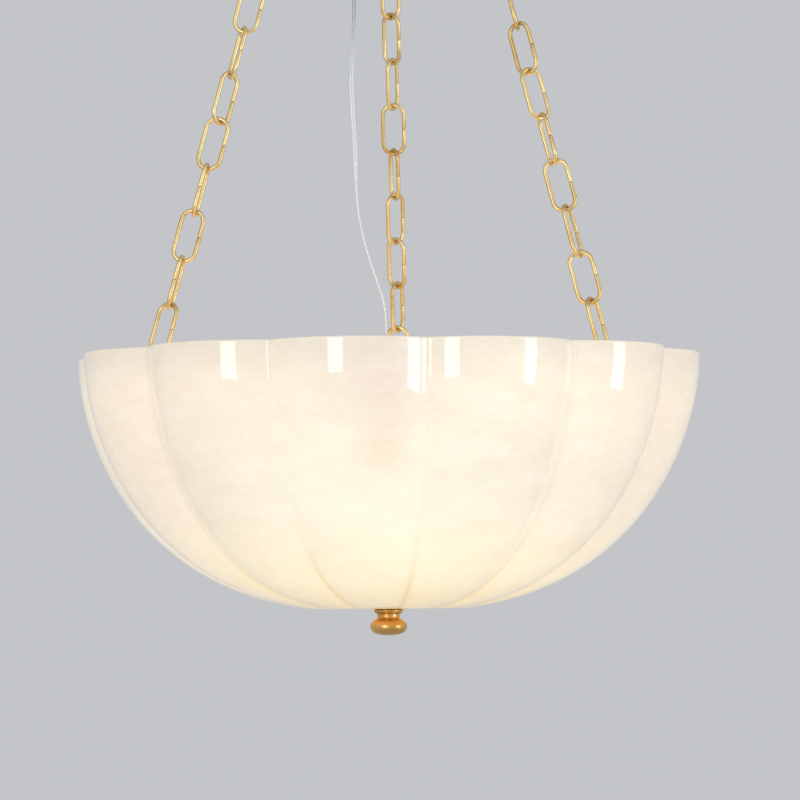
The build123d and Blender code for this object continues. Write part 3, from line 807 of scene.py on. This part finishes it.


# %% Light through the stone
# Painted light: the glow through the wall, with painted shadows where a spot's colour is below zero.
SIDE_GLOW = (0.453, 0.358, 0.258)
LOW_GLOW = (0.230, 0.205, 0.080)
RIM_SHADE = (-0.118, -0.092, -0.061)
CREASE_PAINTED_SHADE = (-0.08, -0.12, -0.16)
CREASE_SHADE_WIDTH = 0.0028
STONE_TINT = (0.07, 0.08, 0.10)
LEAST_GLOW = (0.1, 0.1, 0.1)
LOW_FADE = (-1.16, -1.04)
RIM_FADE = (-0.96, -0.915)
CREASE_SHADE_FADE = (-1.15, -1.07)
SPOTS = {
    "underside": ((0.000, 0.000, -1.165), 0.110, (-0.020, -0.190, -0.330)),
    "bright middle": ((0.240, 0.030, -1.030), 0.150, (0.080, 0.122, 0.085)),
    "bright left": ((0.245, -0.060, -1.040), 0.055, (0.027, 0.065, 0.053)),
    "duller right": ((0.243, 0.108, -1.025), 0.060, (-0.055, -0.037, -0.022)),
    "high shadow": ((0.289, 0.012, -0.952), 0.048, (-0.133, -0.163, -0.103)),
    "low shadow": ((0.262, 0.008, -1.010), 0.028, (-0.070, -0.124, -0.127)),
}
third = folded(alabaster, 3, -math.pi / 2)
height = alabaster.coordinate(alabaster.place(), "Z")
light = add_light(alabaster, SIDE_GLOW, alabaster.spread(height, *LOW_FADE, 1.0, 0.0), LOW_GLOW)
light = add_light(alabaster, light, alabaster.spread(height, *RIM_FADE, 0.0, 1.0), RIM_SHADE)
for centre, width, colour in SPOTS.values():
    light = add_light(alabaster, light, spot(alabaster, third, centre, width), colour)

# Painted shade: a thin darker tan line low in each crease.
lobe = folded(alabaster, LOBES, math.radians(BOWL_TURN + 180 / LOBES))
beside_crease = alabaster.coordinate(lobe, "Y") / CREASE_SHADE_WIDTH
crease_painted_shade = math.e ** -(beside_crease ** 2) * alabaster.spread(height, *CREASE_SHADE_FADE, 1.0, 0.0)
light = add_light(alabaster, light, crease_painted_shade, CREASE_PAINTED_SHADE)
light = add_light(alabaster, light, stone - 0.5, STONE_TINT)
light = alabaster.node("VectorMath", {"operation": "MAXIMUM"}, {0: light, 1: LEAST_GLOW})
alabaster.shade(Emission_Color=light)
tell(alabaster)

bowl = as_piece("alabaster_bowl", bowl_shape, alabaster, ["bowl"], 50)
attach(bowl, "bowl")

# %% [markdown]
# ## Finial
# A knob turned from bar: a flange under the bowl, a waist, and a flattened ball. It is a half section spun about the
# centre line, because that is how a lathe makes it.

# %% The finial
FINIAL_TOP = BOWL_FLOOR_Z - 0.001
flange = [
    (0.0, FINIAL_TOP), (0.0134, FINIAL_TOP), (0.0140, FINIAL_TOP - 0.0005),
    (0.0140, FINIAL_TOP - 0.0018), (0.0134, FINIAL_TOP - 0.0026), (0.0110, FINIAL_TOP - 0.0042),
]
flank = curve_points(
    (0.0105, FINIAL_TOP - 0.0068), (0.0108, FINIAL_TOP - 0.0098),
    (0.0172, FINIAL_TOP - 0.0100), (0.01775, FINIAL_TOP - 0.0160), 10,
)
belly = curve_points(
    (0.01775, FINIAL_TOP - 0.0160), (0.0176, FINIAL_TOP - 0.0215),
    (0.0120, FINIAL_TOP - 0.0246), (0.0, FINIAL_TOP - 0.0246), 14,
)
finial_shape = turned(flange + flank + belly[1:])
finial = as_piece("turned_finial", finial_shape, turned_brass, ["finial"], 40)
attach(finial, "finial")

# %% [markdown]
# ## Gathering ring and loop
# The three chains meet on a welded ring, which hangs in a cast loop under the canopy. Both are round wire: a small
# ring of points, spun once about the middle of the big one.

# %% Ring and loop
LOOP_Z = -0.0635
LOOP_R = 0.011
LOOP_WIRE_R = 0.0025
LOOP_TOP = -0.042
TURN_STEPS = 56


def wire_ring(radius, wire_r, placing):
    shape = bmesh.new()
    facing = Matrix.Translation((radius, 0, 0)) @ Matrix.Rotation(math.pi / 2, 4, "X")
    made = bmesh.ops.create_circle(shape, cap_ends=False, radius=wire_r, segments=WIRE_SIDES, matrix=facing)
    ring = list({edge for vertex in made["verts"] for edge in vertex.link_edges})
    bmesh.ops.spin(
        shape, geom=made["verts"] + ring, cent=(0, 0, 0), axis=(0, 0, 1), dvec=(0, 0, 0),
        angle=2 * math.pi, steps=TURN_STEPS, use_merge=True, use_duplicate=False,
    )
    close(shape)
    bmesh.ops.transform(shape, matrix=placing, verts=shape.verts)
    return shape


ring_shape = wire_ring(RING_R, RING_WIRE_R, Matrix.Translation((0, 0, RING_Z)) @ Matrix.Rotation(math.pi / 2, 4, "X"))
gathering_ring = as_piece("round_gathering_ring", ring_shape, chain_brass, ["gathering_ring"], 40)
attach(gathering_ring, "ring")

loop_shape = wire_ring(LOOP_R, LOOP_WIRE_R, Matrix.Translation((0, 0, LOOP_Z)) @ Matrix.Rotation(math.pi / 2, 4, "Y"))
neck = [(0.0, LOOP_TOP), (0.0065, LOOP_TOP), (0.007, LOOP_TOP - 0.0005), (0.007, LOOP_TOP - 0.0055)]
neck += curve_points(
    (0.007, LOOP_TOP - 0.0055), (0.007, LOOP_TOP - 0.008),
    (0.0045, LOOP_TOP - 0.0085), (0.003, LOOP_TOP - 0.0103), 6,
)[1:]
neck += [(0.0, LOOP_TOP - 0.0103)]
neck_mesh = bpy.data.meshes.new("neck")
neck_shape = turned(neck, 40)
neck_shape.to_mesh(neck_mesh)
neck_shape.free()
loop_shape.from_mesh(neck_mesh)
canopy_loop = as_piece("cast_canopy_loop", loop_shape, chain_brass, ["canopy_loop"], 40)
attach(canopy_loop, "canopy")

# %% [markdown]
# ## Lamps
# Three pear-shaped frosted bulbs glow inside the bowl and can be seen from above. The glass is a half section spun
# about its own axis and then laid along the lamp.

# %% Bulbs
frosted_glass = Finish("lit_frosted_glass", Base_Color=linear("F6EAD2"), Roughness=0.35, Emission_Strength=2.2)
warm_middle = frosted_glass.noise(40.0, 2.0)
frosted_glass.shade(Emission_Color=frosted_glass.between(warm_middle, linear("FFE3B0"), linear("FFF1D6")))
frosted_glass.bump(frosted_glass.noise(1500.0, 2.0), 0.00003, 0.3)
tell(frosted_glass)

LAMP_TILT = math.radians(35)
LAMP_ROOT_R = 0.024
LAMP_ROOT_Z = -0.9497
GLASS_START = 0.057


def lamp_matrix(angle):
    """A lamp's own frame: +Z runs along the lamp towards its bulb."""
    turn = math.radians(angle)
    out = Vector((math.cos(turn), math.sin(turn), 0))
    axis = out * math.sin(LAMP_TILT) + Vector((0, 0, -math.cos(LAMP_TILT)))
    across = Vector((-math.sin(turn), math.cos(turn), 0))
    root = out * LAMP_ROOT_R + Vector((0, 0, LAMP_ROOT_Z))
    return Matrix.Translation(root) @ Matrix((across, axis.cross(across), axis)).transposed().to_4x4()


glass_profile = [(0.0, GLASS_START), (0.0126, GLASS_START)]
glass_profile += curve_points(
    (0.0130, GLASS_START), (0.0135, GLASS_START + 0.016),
    (0.0300, GLASS_START + 0.026), (0.0300, GLASS_START + 0.050), 14,
)
glass_profile += curve_points(
    (0.0300, GLASS_START + 0.050), (0.0300, GLASS_START + 0.069),
    (0.0160, GLASS_START + 0.080), (0.0, GLASS_START + 0.080), 14,
)[1:]
for name, angle in ARM_ANGLES.items():
    glass_shape = turned(glass_profile, 48)
    bmesh.ops.transform(glass_shape, matrix=lamp_matrix(angle), verts=glass_shape.verts)
    glass = as_piece(f"bulb_envelope_{name}", glass_shape, frosted_glass, [f"bulb_glass_{name}"], 50)
    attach(glass, "pendant")

# %% [markdown]
# ## Threaded rod
# A hollow M10 rod carries everything from the hub down to the finial, and its fine thread shows from above. A thread is
# a helix, but at 1 mm to a turn it looks the same as a stack of rings, which is one half section spun once.

# %% The rod
ROD_TOP_Z = RIM_Z + 0.0147
ROD_END_Z = FINIAL_TOP - 0.016
ROD_CREST_R = 0.00495
ROD_ROOT_R = 0.0044
ROD_BORE_R = 0.003
PITCH = 0.001

rod_profile = [(ROD_BORE_R, ROD_TOP_Z), (ROD_ROOT_R, ROD_TOP_Z)]
for turn in range(int((ROD_TOP_Z - ROD_END_Z) / PITCH)):
    thread_z = ROD_TOP_Z - PITCH * (turn + 0.5)
    rod_profile += [(ROD_CREST_R, thread_z), (ROD_ROOT_R, thread_z - PITCH / 2)]
rod_profile += [(ROD_ROOT_R, ROD_END_Z), (ROD_BORE_R, ROD_END_Z), (ROD_BORE_R, ROD_TOP_Z)]
rod = as_piece("threaded_rod", turned(rod_profile, 24), turned_brass, ["centre_rod"], 30)
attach(rod, "pendant")

# %% [markdown]
# ## Finishes for the rest
# The hub, arms, nuts and holders already have their right shapes in the model. Their edges are razor sharp, though,
# and real edges catch light. So a merged copy of each gets a small bevel, and the hidden ones keep the model's mesh.

# %% Other finishes
zinc = Finish("zinc_plate", Metallic=1.0)
zinc.shade(Base_Color=zinc.between(zinc.noise(60.0), linear("B9BCC0"), linear("D5D7DA")))
zinc.shade(Roughness=zinc.spread(zinc.noise(400.0), 0.3, 0.7, 0.28, 0.45))

rubber = Finish("black_rubber", Roughness=0.75)
rubber.shade(Base_Color=rubber.between(rubber.noise(500.0), linear("1C1C1C"), linear("2C2B2A")))
rubber.bump(rubber.noise(1200.0), 0.0001, 0.5)

moulded_white = Finish("moulded_white", Coat_Weight=0.2)
moulded_white.shade(Base_Color=moulded_white.between(moulded_white.noise(30.0), linear("E6E3DA"), linear("F0EEE7")))
moulded_white.shade(Roughness=moulded_white.spread(moulded_white.noise(300.0), 0.3, 0.7, 0.38, 0.52))
moulded_white.bump(moulded_white.noise(900.0), 0.00005, 0.4)

clear_moulding = Finish("clear_moulding", Roughness=0.2, Coat_Weight=0.3)
clear_moulding.shade(Base_Color=clear_moulding.between(clear_moulding.noise(80.0), linear("D9DCDD"), linear("E9EBEC")))
clear_moulding.shade(Alpha=clear_moulding.spread(clear_moulding.noise(150.0), 0.3, 0.7, 0.6, 0.75))

screw_cap = Finish("bright_screw_cap", Metallic=1.0)
screw_cap.shade(Base_Color=screw_cap.between(screw_cap.noise(90.0), linear("C9CACC"), linear("DCDDDE")))
screw_cap.shade(Roughness=screw_cap.spread(screw_cap.noise(300.0), 0.3, 0.7, 0.18, 0.3))
tell(zinc, rubber, moulded_white, clear_moulding, screw_cap)

# %% Softened copies of the model's hard pieces
EDGE_ANGLE = 35
FLAT_ANGLE = 0.3


def soften(node, body, finish, width):
    """A merged copy of a node with a small bevel on its sharp edges."""
    shape = bmesh.new()
    shape.from_mesh(nodes[node].data)
    bmesh.ops.remove_doubles(shape, verts=shape.verts, dist=2e-6)
    bmesh.ops.dissolve_limit(
        shape, angle_limit=math.radians(FLAT_ANGLE), verts=shape.verts, edges=shape.edges, delimit=set(),
    )
    piece = as_piece(f"{node}_eased", shape, finish, [node], EDGE_ANGLE)
    bevel = piece.modifiers.new("eased edges", "BEVEL")
    bevel.width = width
    bevel.segments = 2
    bevel.limit_method = "ANGLE"
    bevel.angle_limit = math.radians(EDGE_ANGLE)
    bevel.harden_normals = True
    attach(piece, body)


for name in ARM_ANGLES:
    soften(f"arm_{name}", "pendant", bar_brass, 0.0006)
    soften(f"lamp_holder_{name}", "pendant", moulded_white, 0.0008)
soften("hub", "pendant", bar_brass, 0.0007)
soften("rod_nuts", "pendant", bar_brass, 0.0005)
soften("lamp_cluster", "pendant", bar_brass, 0.0006)
soften("clamp_plate", "bowl", zinc, 0.0004)
soften("canopy", "canopy", bar_brass, 0.0004)
soften("collar", "canopy", turned_brass, 0.0005)
soften("hub_cord_gland", "pendant", moulded_white, 0.0004)
soften("canopy_cord_gland", "canopy", clear_moulding, 0.0003)
soften("terminal_block", "canopy", moulded_white, 0.0004)

# %% Finishes for the model's own meshes
KEPT = {
    "ceiling_bracket": zinc,
    "canopy_nipple": turned_brass,
    "nipple_nuts": turned_brass,
    "arm_pins": zinc,
    "lamp_nipples": turned_brass,
    "bulb_base_left": screw_cap,
    "bulb_base_right": screw_cap,
    "bulb_base_rear": screw_cap,
    "upper_gasket": rubber,
    "lower_gasket": rubber,
}
for node, finish in KEPT.items():
    for material_slot in nodes[node].material_slots:
        material_slot.material = finish.material
print("finished", len(KEPT), "of the model's own meshes")
